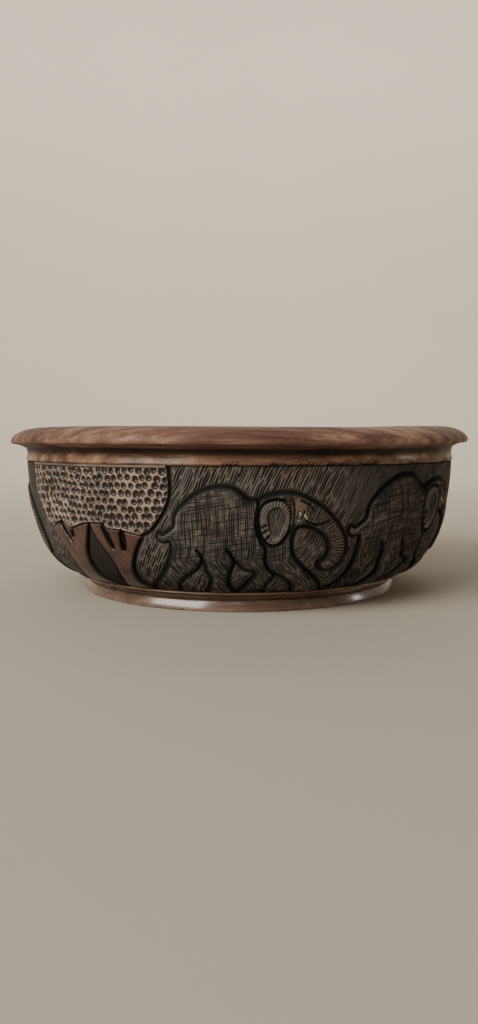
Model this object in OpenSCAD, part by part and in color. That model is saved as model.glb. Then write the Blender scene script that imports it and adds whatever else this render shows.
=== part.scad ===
// Carved wooden bowl: a turned bowl with an everted rim and a frieze of elephants and trees
// carved in low relief round the wall. Millimetres, +Z up, origin on the resting plane at the axis.

/* [Overall] */
// Diameter over the rim
rim_d = 300; // [250:1:360]
// Height from the resting plane to the top of the rim
bowl_h = 104.5; // [95:0.5:126]

/* [Foot] */
// Diameter of the foot ring
foot_d = 207; // [172:1:230]
// Height of the foot ring, up to the lip under the carving
foot_h = 12.2; // [10:0.1:15]
// Height of the bead at the bottom of the foot ring
bead_h = 6.4; // [5:0.1:8]
// How far the lip over the bead stands out from the foot
lip_out = 6.6; // [5:0.1:8]
// Width of the flat ring that the bowl rests on
land_w = 10; // [8:0.5:14]
// Depth of the recess turned under the floor
recess_h = 5; // [3:0.1:6.5]

/* [Wall and floor] */
// Thickness of the wall behind the carved ground
wall_t = 9; // [7:0.1:11]
// Thickness of the floor
floor_t = 12; // [9:0.5:15]
// How far the middle of the floor is dished
dish_h = 1.5; // [0:0.1:3]

/* [Rim and neck] */
// How far the rim stands out from the carved band
rim_out = 8.8; // [6:0.1:12]
// Thickness of the rim, over its lower edge
rim_t = 10.1; // [8:0.1:12]
// Height of the plain neck between the groove and the rim
neck_h = 10.5; // [8:0.1:13]
// How far the neck stands back from the carved band
neck_in = 1.1; // [0.5:0.1:2]
// Depth of the groove between the carved band and the neck
groove_d = 1.6; // [0.8:0.1:2.4]

/* [Carving] */
// Height of the figures over the ground that is cut back round them
relief_h = 2.4; // [1.6:0.1:3]
// Width of the plain borders above and below the frieze
border_w = 1.4; // [1:0.1:2]
// How far the whole frieze is turned round the bowl
frieze_turn = 0; // [-180:1:180]

/* [Hidden] */
$fn = 96;
// Short steps on the turned curves
curve_steps = 10;
outline_steps = 3;

rim_r = rim_d / 2;
foot_r = foot_d / 2;
band_r = rim_r - rim_out;
neck_r = band_r - neck_in;
lip_r = foot_r + lip_out;
core_r = foot_r - land_w;
mouth_r = band_r - relief_h - wall_t;
rim_z = bowl_h - rim_t;
groove_z = rim_z - neck_h;
floor_z = recess_h + floor_t;
edge = 0.5;      // chamfer on the sharp turned edges
groove_w = 1.6;  // width of the groove at the surface

// The frieze is drawn in carver's units on a band frieze_h high, whose radius is low_units at the lip and
// high_units at the groove. Both ways it is stretched to the wall, so each figure keeps its share of the turn.
frieze_h = 71.8;
low_units = 110;
high_units = 141.2;
unit_z = (groove_z - foot_h) / frieze_h;
function unit_x(y) =
    let (w = 1 - pow(1 - max(0, min(1, y / frieze_h)), 3))
        (lip_r + (band_r - lip_r) * w) / (low_units + (high_units - low_units) * w);

// Each elephant is [angle of its middle, size, does a tree come before it]. The two groups of three have a
// pair of trees between them.
elephants = [
    [3.5, 1, true], [50, 1.08, false], [97.2, 0.96, false], [185, 1.03, true], [229.8, 0.93, false], [274, 1.01, false]
];
tree_turns = [-38, 142];
trunk_sides = ["a", "b"];

function elephant_name(i) = str("elephant_", i + 1);
function ear_name(i) = str("elephant_ear_", i + 1);
function canopy_name(i) = str("tree_canopy_", i + 1);
function trunk_name(i, side) = str("tree_trunk_", i + 1, side);

// ---- Curves ----

function bezier(p, t) =
    pow(1 - t, 3) * p[0] + 3 * pow(1 - t, 2) * t * p[1] + 3 * (1 - t) * t * t * p[2] + pow(t, 3) * p[3];
function bezier_way(p, t) =
    let (d = pow(1 - t, 2) * (p[1] - p[0]) + 2 * (1 - t) * t * (p[2] - p[1]) + t * t * (p[3] - p[2]))
    d / norm(d);
function curve(p, from = 0, to = 1) =
    [for (k = [0:curve_steps]) bezier(p, from + (to - from) * k / curve_steps)];

// A closed smooth outline through its points
function smooth(p) = [
    for (i = [0:len(p) - 1])
        let (n = len(p), a = p[(i + n - 1) % n], b = p[i], c = p[(i + 1) % n], d = p[(i + 2) % n])
            for (k = [0:outline_steps - 1])
                let (t = k / outline_steps)
                    (2 * b + (c - a) * t + (2 * a - 5 * b + 4 * c - d) * t * t
                        + (3 * b - a - 3 * c + d) * t * t * t) / 2
];

// The outside of the carved wall, from the lip of the foot up to the groove
wall_curve = [
    [lip_r, foot_h],
    [lip_r + 0.88 * (band_r - lip_r), foot_h + 0.115 * (groove_z - foot_h)],
    [band_r - 1.1, groove_z - 0.3 * (groove_z - foot_h)],
    [band_r, groove_z]
];
// The inside of the wall, from the edge of the floor up to the neck
inside_curve = [
    [core_r, floor_z],
    [core_r + 0.8 * (mouth_r - core_r), floor_z + 0.05 * (groove_z - floor_z)],
    [mouth_r - 0.8, groove_z - 0.33 * (groove_z - floor_z)],
    [mouth_r, groove_z]
];
// Where the borders end, as shares of wall_curve
low_border = border_w / (3 * norm(wall_curve[1] - wall_curve[0]));
high_border = 1 - border_w / (3 * norm(wall_curve[3] - wall_curve[2]));

function skin(t) = bezier(wall_curve, t);
function ground(t) = let (d = bezier_way(wall_curve, t)) skin(t) + relief_h * [-d[1], d[0]];
frieze_steps = [for (k = [0:curve_steps]) low_border + (high_border - low_border) * k / curve_steps];
function reversed(list) = [for (i = [len(list) - 1:-1:0]) list[i]];

module turned(profile) {
    rotate_extrude() polygon(profile);
}

// ---- Turned zones ----

module foot_ring() {
    cove = [
        [foot_r - edge, bead_h],
        [foot_r - 4, bead_h + 0.4],
        [foot_r - 2, foot_h - 1.6],
        [lip_r, foot_h - edge]
    ];
    color("saddlebrown")
    turned(concat(
        [[core_r, 0], [foot_r - 2 * edge, 0], [foot_r, 2 * edge], [foot_r + edge, bead_h / 2], [foot_r, bead_h - edge]],
        curve(cove),
        [[lip_r, foot_h], [core_r, foot_h]]
    ));
}

module bowl_floor() {
    color("sienna")
    turned(concat(
        [[0, recess_h], [core_r, recess_h]],
        [for (k = [0:curve_steps])
            let (r = 1 - k / curve_steps)
                [core_r * r, floor_z - dish_h * (1 - r * r)]]
    ));
}

module bowl_wall() {
    color("#2a1d17")
    turned(concat(
        [[core_r, foot_h], skin(0), skin(low_border)],
        [for (t = frieze_steps) ground(t)],
        [skin(high_border), skin(1) - [0, groove_w / 2], [band_r - groove_d, groove_z]],
        reversed(curve(inside_curve))
    ));
}

module neck_cove() {
    cove = [
        [neck_r, groove_z + groove_w / 2],
        [neck_r - 0.8, rim_z - 0.15 * neck_h],
        [neck_r + 0.25 * (rim_r - neck_r), rim_z - 0.08 * neck_h],
        [rim_r - edge, rim_z]
    ];
    color("saddlebrown")
    turned(concat(
        [[mouth_r, groove_z], [band_r - groove_d, groove_z]],
        curve(cove),
        [[mouth_r, rim_z]]
    ));
}

module rim_lip() {
    crest_r = mouth_r + 0.25 * (rim_r - mouth_r);
    outer = [
        [rim_r, rim_z + edge],
        [rim_r - 0.4, rim_z + 0.54 * rim_t],
        [rim_r - 5, rim_z + 0.91 * rim_t],
        [crest_r, bowl_h]
    ];
    inner = [
        [crest_r, bowl_h],
        [mouth_r + 0.07 * (rim_r - mouth_r), bowl_h],
        [mouth_r, bowl_h - 0.08 * rim_t],
        [mouth_r, bowl_h - 0.3 * rim_t]
    ];
    color("#8a4b33")
    turned(concat(
        [[mouth_r, rim_z], [rim_r - edge, rim_z]],
        curve(outer),
        [for (k = [1:curve_steps]) bezier(inner, k / curve_steps)]
    ));
}

// ---- Carved figures ----
// Outlines are [x, height over the lip] in carver's units, seen from outside, with the figure facing +x.

tail = [[-43, 39.5], [-46, 36.4], [-49, 34.4], [-51.4, 35.6], [-51.6, 32.4], [-48.6, 30.6], [-45, 31]];
// The far hind leg is stretched back where a tree comes before the elephant, or nearly upright
stretched_leg = [
    [-44, 26], [-45.4, 17.5], [-48.6, 9], [-51.6, 4], [-52, -2], [-40.5, -2], [-38.8, 5], [-35, 10.5], [-29.8, 15.5]
];
upright_leg = [[-43.6, 24], [-42.6, 16], [-41.6, 8], [-41, -2], [-29.6, -2], [-31, 6], [-29.6, 13]];
rest_of_elephant = [
    [-27, 21], [-24.6, 14.5], [-21.8, 8], [-23, -2], [-10.5, -2], [-13.2, 7], [-12.6, 14], [-9.8, 20],
    [-5.4, 15.6], [0.8, 13], [-2.6, 7], [-8, -2], [4, -2], [7.6, 6.5], [12.4, 11.8], [19.6, 6.4], [24, -2],
    [37.6, -2], [34, 7.5], [26.4, 15.4], [20.6, 23.4], [19.6, 32], [22, 38.6], [27, 39.6], [32.5, 37.6],
    [38, 33.6], [40.6, 27.6], [39, 21.6], [34.8, 18.2], [36, 14.6], [41, 13.8], [47, 18.4], [50, 24],
    [50.4, 30.4], [48.4, 36], [44.4, 42], [37.6, 49], [30.4, 53.4], [23.4, 56.6], [17, 57.6], [11, 57.2],
    [5.6, 55.8], [1, 54], [-3, 54.4], [-7, 57.2], [-12, 60.2], [-18, 60.9], [-25, 59.8], [-32, 56.4],
    [-38.4, 51], [-42.4, 45.4]
];
ear_outline = [
    [3.4, 51.6], [1.2, 46], [1.6, 38.5], [4, 32.3], [8, 29], [12.4, 29.4], [16.4, 33.5], [19, 39],
    [19.8, 45.5], [18.8, 50.6], [15, 54], [8.8, 54.4]
];
// The ear is an island inside a groove, drawn a little smaller about its middle
ear_middle = [10.5, 42.4];
ear_share = 0.82;

canopy_outline = [
    [-52.6, 78.5], [-40, 79], [40, 79], [52.6, 78.5], [54, 72], [54.3, 65], [54.3, 58], [51.8, 50], [46.4, 42],
    [40.5, 36.2], [35.5, 34.4], [29, 35.6], [22, 36.8], [15.5, 37], [11, 39.6], [3, 39.6], [-5, 38.6], [-12, 36.4],
    [-17, 35.8], [-23, 38.6], [-30, 37.6], [-36, 34.6], [-41, 35.8], [-46, 41], [-51, 49], [-54, 57],
    [-54.3, 65], [-54, 72]
];
// Each pair of trunks forks into limbs under the canopy
left_trunk = [
    [-26, -2], [-4, -2], [-7.8, 7], [-8.4, 15], [-7, 22], [-3.4, 30], [-0.6, 37.6], [-5, 37.4], [-12, 35.2],
    [-14.2, 34.6], [-15.3, 29.6], [-17, 29.8], [-17, 34.2], [-20, 36], [-22.6, 37], [-20.6, 32], [-17.8, 27],
    [-19.6, 26.6], [-24, 31.6], [-28, 36.6], [-31.6, 35.6], [-35.8, 33.2], [-33.4, 28.6], [-28, 22.6],
    [-24.8, 15], [-24, 7]
];
right_trunk = [
    [6, -2], [21.6, -2], [20.4, 6], [22.8, 14], [27, 21], [31.8, 28], [35, 33], [29.6, 34.3], [25.8, 34.9],
    [24.8, 29], [23.2, 24.8], [21.2, 25], [21.6, 29.8], [22, 35.6], [18.8, 36], [15.4, 35.9], [14, 37],
    [15.4, 30.6], [16.4, 25.8], [14.6, 25.4], [12, 30.6], [9.6, 38.2], [6.4, 38.5], [2.2, 38.4], [4.2, 31],
    [8.6, 24.5], [11.8, 17], [10.6, 7]
];

function elephant_outline(stretched) = concat(tail, stretched ? stretched_leg : upright_leg, rest_of_elephant);
function placed(outline, size = 1) = [
    for (p = smooth(outline)) [p[0] * size * unit_x(p[1] * size), foot_h + p[1] * size * unit_z]
];
function shrunk(outline, middle, share) = [for (p = outline) middle + share * (p - middle)];

// A flat outline pushed inwards from outside at an angle round the bowl, kept where wood is left
// standing over the ground
module carved(turn, half_angle) {
    intersection() {
        rotate([0, 0, frieze_turn + turn - 90 - half_angle])
            rotate_extrude(angle = 2 * half_angle)
                polygon(concat([for (t = frieze_steps) skin(t)], reversed([for (t = frieze_steps) ground(t)])));
        rotate([0, 0, frieze_turn + turn])
            rotate([90, 0, 0])
                linear_extrude(band_r + 1)
                    children();
    }
}

module elephant(i) {
    body = placed(elephant_outline(elephants[i][2]), elephants[i][1]);
    ear = placed(ear_outline, elephants[i][1]);
    color("#3b2a22")
    carved(elephants[i][0], 35)
        polygon(
            concat(body, ear),
            paths = [[for (k = [0:len(body) - 1]) k], [for (k = [0:len(ear) - 1]) len(body) + k]]
        );
}

module elephant_ear(i) {
    color("#4d362b")
    carved(elephants[i][0], 15)
        polygon(placed(shrunk(ear_outline, ear_middle, ear_share), elephants[i][1]));
}

module canopy(i) {
    color("#6e4433")
    carved(tree_turns[i], 35)
        polygon(placed(canopy_outline));
}

module trunk(i, side) {
    color("#7a3f2a")
    carved(tree_turns[i], 25)
        polygon(placed(side == "a" ? left_trunk : right_trunk));
}

// ---- Nodes ----

foot_ring();
bowl_floor();
bowl_wall();
neck_cove();
rim_lip();
for (i = [0:len(elephants) - 1]) {
    elephant(i);
    elephant_ear(i);
}
for (i = [0:len(tree_turns) - 1]) {
    canopy(i);
    for (side = trunk_sides)
        trunk(i, side);
}
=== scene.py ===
import math

import bpy
import numpy as np
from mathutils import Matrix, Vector


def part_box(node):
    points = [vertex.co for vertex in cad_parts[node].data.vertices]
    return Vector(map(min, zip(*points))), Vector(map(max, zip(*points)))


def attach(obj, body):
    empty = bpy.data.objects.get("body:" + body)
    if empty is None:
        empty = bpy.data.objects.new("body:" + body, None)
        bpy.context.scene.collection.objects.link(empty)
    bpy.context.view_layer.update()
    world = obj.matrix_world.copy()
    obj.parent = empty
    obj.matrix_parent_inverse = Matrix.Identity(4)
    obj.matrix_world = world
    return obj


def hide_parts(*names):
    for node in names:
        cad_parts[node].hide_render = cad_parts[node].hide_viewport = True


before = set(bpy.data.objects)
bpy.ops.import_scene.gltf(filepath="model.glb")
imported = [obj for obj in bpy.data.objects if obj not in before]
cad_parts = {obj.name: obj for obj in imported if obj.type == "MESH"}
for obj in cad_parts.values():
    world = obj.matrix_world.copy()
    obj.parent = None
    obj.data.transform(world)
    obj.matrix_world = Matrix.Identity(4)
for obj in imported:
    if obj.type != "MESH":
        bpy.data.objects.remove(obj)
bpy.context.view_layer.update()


# ---- The rim -------------------------------------------------------------------------------
# The thick rolled rim at the top of the bowl, turned from the same block as everything below it
# and polished to a red brown. It has moved a little as the wood dried, so it isn't quite flat.

MM = 0.001
rim_low, rim_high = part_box("rim_lip")
RIM_R = rim_high.x / MM
RIM_TOP = rim_high.z / MM
RIM_UNDER = rim_low.z / MM
RIM_WIDTH = 20.2
MOUTH_R = RIM_R - RIM_WIDTH
# Where the rim gives way to the neck, and the groove where the neck ends
SEAT_R, SEAT_Z = 141.9, RIM_UNDER - 1.6
GROOVE_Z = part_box("neck_cove")[0].z / MM


class Stain:
    """A socket in a finish, so that sums on it are written as sums."""

    def __init__(self, finish, socket):
        self.finish = finish
        self.socket = socket

    def sum(self, operation, *parts):
        return self.finish.add("ShaderNodeMath", {"operation": operation}, dict(enumerate(parts)))

    def __add__(self, other):
        return self.sum("ADD", self, other)

    def __radd__(self, other):
        return self.sum("ADD", other, self)

    def __sub__(self, other):
        return self.sum("SUBTRACT", self, other)

    def __rsub__(self, other):
        return self.sum("SUBTRACT", other, self)

    def __mul__(self, other):
        return self.sum("MULTIPLY", self, other)

    def held(self, low=0.0, high=1.0):
        return self.sum("MINIMUM", self.sum("MAXIMUM", self, low), high)


class Finish:
    """One finish of the wood, built up from nodes."""

    def __init__(self, name):
        self.material = bpy.data.materials.new(name)
        self.material.use_nodes = True
        self.tree = self.material.node_tree
        self.tree.nodes.clear()

    def add(self, kind, settings=None, sockets=None, out=0):
        node = self.tree.nodes.new(kind)
        for key, value in (settings or {}).items():
            if key == "stops":
                ramp = node.color_ramp
                while len(ramp.elements) < len(value):
                    ramp.elements.new(0.5)
                for element, (place, colour) in zip(ramp.elements, value):
                    element.position = place
                    element.color = (*colour, 1.0)
            else:
                setattr(node, key, value)
        for key, value in (sockets or {}).items():
            if isinstance(value, Stain):
                self.tree.links.new(value.socket, node.inputs[key])
            else:
                node.inputs[key].default_value = value
        return Stain(self, node.outputs[out]) if len(node.outputs) else None

    def noise(self, scale, detail=2.0, roughness=0.5, shift=(0, 0, 0)):
        """Cloudy variation with so many clouds to the millimetre along X, Y and Z."""
        spot = self.add("ShaderNodeTexCoord", out="Object")
        place = self.add("ShaderNodeMapping", {}, {
            "Vector": spot, "Location": shift, "Scale": tuple(1000 * s for s in scale)})
        return self.add("ShaderNodeTexNoise", {}, {
            "Vector": place, "Scale": 1.0, "Detail": detail, "Roughness": roughness})

    def mix(self, share, one, other):
        """A colour between two colours."""
        return self.add("ShaderNodeMix", {"data_type": "RGBA"}, {
            0: share, 6: one if isinstance(one, Stain) else (*one, 1.0),
            7: other if isinstance(other, Stain) else (*other, 1.0)}, out=2)

    def carved(self, name):
        """One of the values that the carving leaves at each place."""
        settings = {"attribute_name": name, "attribute_type": "GEOMETRY"}
        return self.add("ShaderNodeAttribute", settings, out=2)

    def close(self, colour, roughness, height, strength, depth, coat=0.0, coat_roughness=0.2, level=0.5):
        """Ends the finish: depth is how far its fine relief stands, in mm."""
        bump = self.add("ShaderNodeBump", {}, {
            "Height": height, "Strength": strength, "Distance": depth * MM})
        skin = self.add("ShaderNodeBsdfPrincipled", {}, {
            "Base Color": colour, "Roughness": roughness, "Normal": bump, "Coat Weight": coat,
            "Coat Roughness": coat_roughness, "Specular IOR Level": level})
        self.add("ShaderNodeOutputMaterial", {}, {"Surface": skin})
        return self.material


def polished_wood(name, dark, middle, light, roughness, coat, across=1.0, stained_and_shaded=False, level=0.5,
                  spread=0.22):
    """Polished wood whose fibres run along X, with fine dark pores and softer bands. Spread is how far apart
    in tone its dark and light are, and the stained flag darkens it where the tone mark is low: dark stain in
    nicks and painted shade under the rim."""
    wood = Finish(name)
    wander = wood.noise((0.006, 0.03, 0.03), 2.0)
    band = wood.noise((0.011, 0.16 * across, 0.2 * across), 3.0, 0.55, shift=(3.1, 0.4, 7.7))
    streak = wood.noise((0.035, 1.3, 1.5), 3.0, 0.6)
    fibre = wood.noise((0.12, 3.4, 3.8), 2.0, 0.6, shift=(11, 5, 2))
    pore = ((wood.noise((0.16, 2.3, 2.6), 1.0, 0.5, shift=(5, 9, 1)) - 0.64) * 9.0).held()
    tone = (band * 0.62 + streak * 0.3 + wander * 0.36 + fibre * 0.14 - 0.2).held()
    common = 0.52
    stops = [(common - spread, dark), (common, middle), (common + spread, light)]
    colour = wood.add("ShaderNodeValToRGB", {"stops": stops}, {0: tone})
    colour = wood.mix(pore * 0.7, colour, tuple(0.35 * c for c in dark))
    if stained_and_shaded:
        # The tone mark holds dark stain in cuts and painted shade; where it is low the colour goes nearly
        # black and the coat thins
        tone = wood.carved("tone")
        colour = wood.mix(1 - tone, colour, (0.006, 0.004, 0.003))
        coat = (tone * tone * coat).held()
    rough = (streak * 0.2 + (roughness - 0.1) + pore * 0.2).held(0.1, 0.9)
    height = fibre * 0.35 + streak * 0.5 - pore * 0.8
    return wood.close(colour, rough, height, 0.25, 0.12, coat, 0.15, level)


# A point of a turned profile nearer the axis than this, in mm, is on it
ON_AXIS = 0.01


def bend(points, t):
    """A curve through its first and last point, pulled by the two between."""
    a, b, c, d = np.array(points, float)
    t = np.asarray(t, float)[..., None]
    return (1 - t) ** 3 * a + 3 * (1 - t) ** 2 * t * b + 3 * (1 - t) * t * t * c + t ** 3 * d


def eased(corners, reach, steps=4):
    """A closed turned profile with every corner that turns sharply worn round, up to reach mm back from
    it. Corners on the axis stay, and so do those at the mouth, where rim, neck and wall meet flush."""
    nearly_straight = 0.93
    corners = np.array(corners, float)
    out = []
    for before, here, after in zip(np.roll(corners, 1, 0), corners, np.roll(corners, -1, 0)):
        back, on = before - here, after - here
        far_back, far_on = np.linalg.norm(back), np.linalg.norm(on)
        straight = -np.dot(back, on) / (far_back * far_on)
        if straight > nearly_straight or here[0] < ON_AXIS or abs(here[0] - MOUTH_R) < 0.5:
            out.append(here)
            continue
        cut = min(reach, 0.45 * far_back, 0.45 * far_on)
        start, end = here + back / far_back * cut, here + on / far_on * cut
        for k in range(steps + 1):
            t = k / steps
            out.append((1 - t) ** 2 * start + 2 * (1 - t) * t * here + t * t * end)
    return np.array(out)


def crisp(corners):
    """The same closed profile with a point close on each side of every sharp corner, so that the corner
    shades as one."""
    close_by, long_side = 0.05, 0.3
    out = []
    for before, here, after in zip(np.roll(corners, 1, 0), corners, np.roll(corners, -1, 0)):
        back, on = before - here, after - here
        far_back, far_on = np.linalg.norm(back), np.linalg.norm(on)
        sharp = np.dot(back, on) / (far_back * far_on) > -0.85 and here[0] > ON_AXIS
        if sharp and far_back > long_side:
            out.append(here + back / far_back * close_by)
        out.append(here)
        if sharp and far_on > long_side:
            out.append(here + on / far_on * close_by)
    return np.array(out)


def dried(points):
    """Points in mm moved as the drying wood has moved: not at all on the carving, most at the rim."""
    turn = np.arctan2(points[..., 0], -points[..., 1])
    share = np.clip((points[..., 2] - GROOVE_Z) / (RIM_UNDER - GROOVE_Z), 0, 1)
    share = share * share * (3 - 2 * share)
    inward = np.clip(np.hypot(points[..., 0], points[..., 1]) / MOUTH_R, 0, 1) ** 4
    lift = 1.3 * np.sin(turn) - 1.1 * np.sin(2 * turn) - 0.3 * np.cos(2 * turn)
    out = np.array(points, float)
    out[..., 2] += share * inward * lift
    return out


def made(name, points, faces, unwrapped, finish, slot, *nodes, marks=None):
    """A piece of the block from its points in mm, its sets of faces with their flat maps, and its finish."""
    used, again = np.unique(np.concatenate([f.ravel() for f in faces]), return_inverse=True)
    mesh = bpy.data.meshes.new(name)
    mesh.vertices.add(len(used))
    mesh.vertices.foreach_set("co", (points[used] * MM).astype(np.float32).ravel())
    sizes = np.concatenate([np.full(len(f), f.shape[1]) for f in faces])
    mesh.loops.add(len(again))
    mesh.loops.foreach_set("vertex_index", again.ravel().astype(np.int32))
    mesh.polygons.add(len(sizes))
    starts = np.concatenate([[0], np.cumsum(sizes)[:-1]])
    mesh.polygons.foreach_set("loop_start", starts.astype(np.int32))
    mesh.polygons.foreach_set("use_smooth", np.ones(len(sizes), bool))
    mesh.update(calc_edges=True)
    flat = np.concatenate([u.reshape(-1, 2) for u in unwrapped])
    mesh.uv_layers.new(name="OFBake").data.foreach_set("uv", flat.astype(np.float32).ravel())
    for mark, values in (marks or {}).items():
        layer = mesh.attributes.new(mark, "FLOAT", "POINT")
        layer.data.foreach_set("value", values[used].astype(np.float32))
    mesh.materials.append(finish)
    piece = bpy.data.objects.new(name, mesh)
    bpy.context.scene.collection.objects.link(piece)
    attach(piece, "root")
    if nodes:
        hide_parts(*nodes)
    return piece


def turned(name, profile, finish, slot, *nodes, steps=540, nicks=None):
    """A piece turned on the lathe from its closed profile of (radius, height) in mm, seen anticlockwise.
    Nicks gives how deep the carver's tool ran into it at each turn, radius and height, from 0 to 1. With
    nicks, its tone mark carries the dark of the nicks and painted shade high on the outer face, under the
    rim."""
    profile = crisp(np.array(profile, float))
    count = len(profile)
    turn = np.arange(steps) * 2 * math.pi / steps
    lengths = np.linalg.norm(np.roll(profile, -1, 0) - profile, axis=1)
    run = np.concatenate([[0], np.cumsum(lengths)]) / lengths.sum()
    points = np.stack([
        profile[None, :, 0] * np.sin(turn)[:, None],
        -profile[None, :, 0] * np.cos(turn)[:, None],
        np.broadcast_to(profile[None, :, 1], (steps, count))], -1)
    marks = None
    if nicks:
        height = points[..., 2]
        nick = nicks(turn[:, None] + 0 * profile[:, 0], profile[:, 0] + 0 * turn[:, None], height)
        points[..., :2] *= 1 - NICK_DEPTH * nick[..., None] / np.maximum(profile[:, :1], 1)
        # Painted shade: the tone is darkened high on the neck's outer face, where the rim's shadow falls
        painted_shade_under_rim = smooth_step((height - GROOVE_Z - 3.6) / 3.2) * (profile[:, 0] > NECK_FACE_R)
        marks = {"tone": ((1 - np.minimum(1.6 * nick, 1)) * (1 - 0.85 * painted_shade_under_rim)).ravel()}
    points = dried(points).reshape(-1, 3)
    on_axis = profile[:, 0] < ON_AXIS
    faces, unwrapped = [], []
    for j in range(count):
        k = (j + 1) % count
        if on_axis[j] and on_axis[k]:
            continue
        i = np.arange(steps)
        here, there = i * count, (i + 1) % steps * count
        ring = [here + j, there + j, there + k, here + k]
        left, right = i / steps, (i + 1) / steps
        flat = [(left, run[j]), (right, run[j]), (right, run[j + 1]), (left, run[j + 1])]
        if on_axis[j]:
            ring, flat = [np.full(steps, j), *ring[2:]], [flat[0], *flat[2:]]
        elif on_axis[k]:
            ring, flat = [*ring[:2], np.full(steps, k)], flat[:3]
        faces.append(np.stack(ring, 1))
        unwrapped.append(np.stack([np.stack(np.broadcast_arrays(u, v), -1) for u, v in flat], 1))
    return made(name, points, faces, unwrapped, finish, slot, *nodes, marks=marks)


rim_finish = polished_wood(
    "polished red-brown rim", (0.075, 0.036, 0.026), (0.185, 0.1, 0.074), (0.4, 0.26, 0.19),
    0.56, 0.05, level=0.14, spread=0.16)
crest = MOUTH_R + 5.2
rim_outside = bend([(RIM_R - 0.4, RIM_UNDER + 0.9), (RIM_R + 1.2, RIM_UNDER + 4.4),
                    (RIM_R - 5.4, RIM_TOP - 0.7), (crest, RIM_TOP)], np.linspace(0, 1, 26))
rim_inside = bend([(crest, RIM_TOP), (MOUTH_R + 1.4, RIM_TOP), (MOUTH_R, RIM_TOP - 0.9),
                   (MOUTH_R, RIM_TOP - 3.4)], np.linspace(0, 1, 14)[1:])
rim_under = bend([(SEAT_R, SEAT_Z), (144, RIM_UNDER - 0.4), (147, RIM_UNDER + 0.2),
                  (RIM_R - 1.2, RIM_UNDER + 0.3)], np.linspace(0, 1, 10))
rim_profile = np.concatenate([[(MOUTH_R, SEAT_Z)], rim_under, rim_outside, rim_inside])
turned("rim", eased(rim_profile, 0.35), rim_finish, "red_brown_wood", "rim_lip")


# ---- The neck ------------------------------------------------------------------------------
# The plain hollow between the rim and the carving, turned and polished, and bounded below by a groove that
# the carver's cuts run into. High on its face it is painted darker, as painted shade under the rim.

# The neck's face lies outside the first radius, and cuts run on only into what is outside the second
NECK_FACE_R, OVERRUN_FROM_R = 137, 138
NICK_DEPTH = 0.4
# Where the first pair of trees stands round the bowl, in degrees
FIRST_TREE = -38


def smooth_step(value):
    """A share that eases from 0 to 1 as the value goes from 0 to 1."""
    value = np.clip(value, 0, 1)
    return value * value * (3 - 2 * value)


def scatter(i, j, seed):
    """A steady random share for each pair of whole numbers."""
    mixed = np.sin(i * 12.9898 + j * 78.233 + seed * 37.719) * 43758.5453
    return mixed - np.floor(mixed)


def drift(x, y, size, seed):
    """Slow random swings between -1 and 1."""
    i, j = np.floor(x / size), np.floor(y / size)
    u, v = smooth_step(x / size - i), smooth_step(y / size - j)
    low = scatter(i, j, seed) * (1 - u) + scatter(i + 1, j, seed) * u
    high = scatter(i, j + 1, seed) * (1 - u) + scatter(i + 1, j + 1, seed) * u
    return (low * (1 - v) + high * v) * 2 - 1


def strokes(x, y, lean, pitch, length, seed, sway=1.0):
    """Rows of short cuts of a gouge that lean so many degrees from level: how deep the cut is at each
    point, from 0 to 1."""
    x = x + sway * drift(x, y, 13, seed) + 0.3 * sway * drift(x, y, 4, seed + 1)
    y = y + sway * drift(x, y, 17, seed + 2)
    across = x * math.sin(math.radians(lean)) - y * math.cos(math.radians(lean))
    along = x * math.cos(math.radians(lean)) + y * math.sin(math.radians(lean))
    i = np.floor(across / pitch)
    begun = along / length + scatter(i, 0 * i, seed)
    j = np.floor(begun)
    off = np.abs(across / pitch - i - 0.5 - 0.3 * (scatter(i, j, seed + 3) - 0.5)) * 2
    end = np.abs(begun - j - 0.5) * 2
    weight = 0.5 + 0.5 * scatter(i, j, seed + 4)
    return weight * np.clip(1.15 - off, 0, 1) * np.sqrt(np.clip(1.02 - end ** 3, 0, 1))


def overrun(turn, radius, height):
    """Cuts of the sky that ran on over the groove, in clusters, a little way up the neck. There are none
    over the two pairs of trees."""
    groove_r, pitch = 140, 1.7
    x = turn * groove_r
    cut = strokes(x + 0.2 * np.sin(x * 0.9), height - GROOVE_Z, 52, pitch, 30, 5, 0.4)
    cluster = smooth_step((drift(x, 0 * x, 9, 2) + 0.1) * 4)
    reach = 1.5 + 1.2 * scatter(np.floor(x / pitch), 0 * x, 4)
    low_down = np.clip(1.25 - (height - GROOVE_Z) / reach, 0, 1)
    from_tree = np.abs((turn + math.radians(45 - FIRST_TREE)) % math.pi - math.pi / 4) * groove_r
    over_sky = smooth_step((from_tree - 60) / 6)
    return cut * cluster * over_sky * low_down * (radius > OVERRUN_FROM_R)


neck_finish = polished_wood(
    "polished brown neck", (0.078, 0.042, 0.027), (0.205, 0.117, 0.077), (0.38, 0.247, 0.166),
    0.4, 0.16, stained_and_shaded=True, level=0.12, spread=0.14)
neck_curve = bend([(140.6, GROOVE_Z + 1.1), (139.5, GROOVE_Z + 4.2), (139.3, GROOVE_Z + 8.3),
                   (SEAT_R, SEAT_Z)], np.linspace(0, 1, 22) ** 1.25)
NECK_BACK_R = MOUTH_R + 0.4
neck_foot = [(NECK_BACK_R, GROOVE_Z), (139.5, GROOVE_Z), (140.1, GROOVE_Z + 0.35)]
neck_profile = np.concatenate([neck_foot, neck_curve, [(NECK_BACK_R, SEAT_Z)]])
turned("neck", eased(neck_profile, 0.25), neck_finish, "brown_wood", "neck_cove", steps=1600, nicks=overrun)


# ---- The foot ------------------------------------------------------------------------------
# The ring that the bowl stands on: a shiny bead at the bottom, a dark cove above it, and a thin
# lip that closes the carving from below. Turned, then rubbed bright where hands lift it.

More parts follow.
